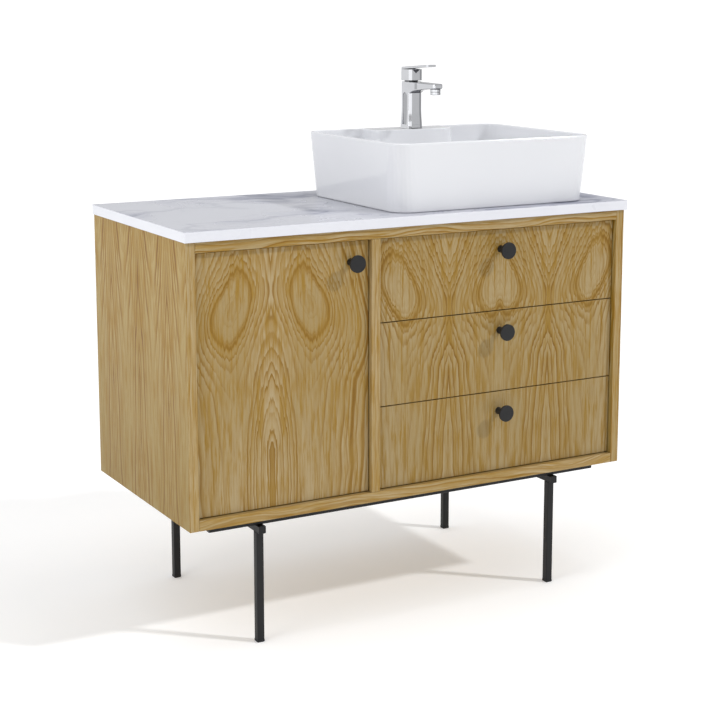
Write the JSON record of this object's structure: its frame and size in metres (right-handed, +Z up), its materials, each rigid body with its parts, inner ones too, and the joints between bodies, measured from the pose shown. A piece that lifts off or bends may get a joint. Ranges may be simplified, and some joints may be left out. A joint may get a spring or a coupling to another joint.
{
  "type": "vessel sink on vanity",
  "caption": "Oak bathroom vanity on a slim black steel base, with a door, drawers, a stone-look top, a rectangular countertop basin and a single-lever mixer tap.",
  "frame": {"origin": "on the floor, under the middle of the unit", "axes": "+Z up, +X to the right as the user faces the doors, the front faces -Y"},
  "size_m": [1, 0.493, 1.0943],
  "materials": {
    "oak_veneer": "satin lacquered crown-cut oak veneer",
    "interior_board": "satin melamine-faced board",
    "stone_top": "polished white marble with faint grey veins",
    "ceramic": "glossy white glaze",
    "chrome": "polished chrome plate",
    "black_steel": "fine black powder coat",
    "black_knob": "matt black lacquer",
    "zinc_hardware": "zinc plate",
    "white_plastic": "moulded white plastic",
    "black_plastic": "moulded black plastic"
  },
  "bodies": {
    "cabinet": {"side_panel_left": "oak_veneer", "side_panel_right": "oak_veneer", "top_panel": "oak_veneer", "bottom_panel": "oak_veneer", "divider": "oak_veneer", "back_panel": "interior_board", "shelf": "interior_board", "base_rail_front": "black_steel", "base_rail_rear": "black_steel", "base_crossbar_left": "black_steel", "base_crossbar_right": "black_steel", "leg_front_left": "black_steel", "leg_front_right": "black_steel", "leg_rear_left": "black_steel", "leg_rear_right": "black_steel", "foot_front_left": "black_plastic", "foot_front_right": "black_plastic", "foot_rear_left": "black_plastic", "foot_rear_right": "black_plastic", "countertop": "stone_top", "basin": "ceramic", "waste_body": "chrome", "waste_nut": "black_plastic", "bottle_trap": "white_plastic", "tap_body": "chrome", "aerator": "chrome", "tap_fixing": "zinc_hardware", "hinge_arm_lower": "zinc_hardware", "hinge_arm_upper": "zinc_hardware", "runner_bottom_left": "zinc_hardware", "runner_bottom_right": "zinc_hardware", "runner_middle_left": "zinc_hardware", "runner_middle_right": "zinc_hardware", "runner_top_left": "zinc_hardware", "runner_top_right": "zinc_hardware"},
    "door": {"door_panel": "oak_veneer", "door_knob": "black_knob", "hinge_cup_lower": "zinc_hardware", "hinge_cup_upper": "zinc_hardware"},
    "tap_mixing_spindle": {"tap_spindle": "black_plastic"},
    "tap_lever": {"tap_handle": "chrome"},
    "waste_plug": {"waste_plug": "chrome"},
    "drawer_bottom": {"drawer_bottom_front": "oak_veneer", "drawer_bottom_side_left": "interior_board", "drawer_bottom_side_right": "interior_board", "drawer_bottom_back": "interior_board", "drawer_bottom_bottom": "interior_board", "drawer_bottom_knob": "black_knob"},
    "drawer_middle": {"drawer_middle_front": "oak_veneer", "drawer_middle_side_left": "interior_board", "drawer_middle_side_right": "interior_board", "drawer_middle_back": "interior_board", "drawer_middle_bottom": "interior_board", "drawer_middle_knob": "black_knob"},
    "drawer_top": {"drawer_top_front": "oak_veneer", "drawer_top_side_left": "interior_board", "drawer_top_side_right": "interior_board", "drawer_top_back": "interior_board", "drawer_top_bottom": "interior_board", "drawer_top_knob": "black_knob"}
  },
  "joints": [
    {"name": "door_hinge", "type": "hinge", "parent": "cabinet", "child": "door", "pos_m": [-0.4755, -0.2145, 0.5237], "axis": [0, 0, -1], "range_deg": [0, 95]},
    {"name": "drawer_bottom_slide", "type": "slide", "parent": "cabinet", "child": "drawer_bottom", "axis": [0, -1, 0], "range_m": [0, 0.3]},
    {"name": "drawer_middle_slide", "type": "slide", "parent": "cabinet", "child": "drawer_middle", "axis": [0, -1, 0], "range_m": [0, 0.3]},
    {"name": "drawer_top_slide", "type": "slide", "parent": "cabinet", "child": "drawer_top", "axis": [0, -1, 0], "range_m": [0, 0.3]},
    {"name": "tap_mix", "type": "hinge", "parent": "cabinet", "child": "tap_mixing_spindle", "pos_m": [0.1935, 0.137, 1.0541], "axis": [0, 0, 1], "range_deg": [-45, 45]},
    {"name": "tap_lift", "type": "hinge", "parent": "tap_mixing_spindle", "child": "tap_lever", "pos_m": [0.1935, 0.152, 1.0584], "axis": [-1, 0, 0], "range_deg": [0, 22]},
    {"name": "plug_lift", "type": "slide", "parent": "cabinet", "child": "waste_plug", "axis": [0, 0, 1], "range_m": [0, 0.008]}
  ]
}
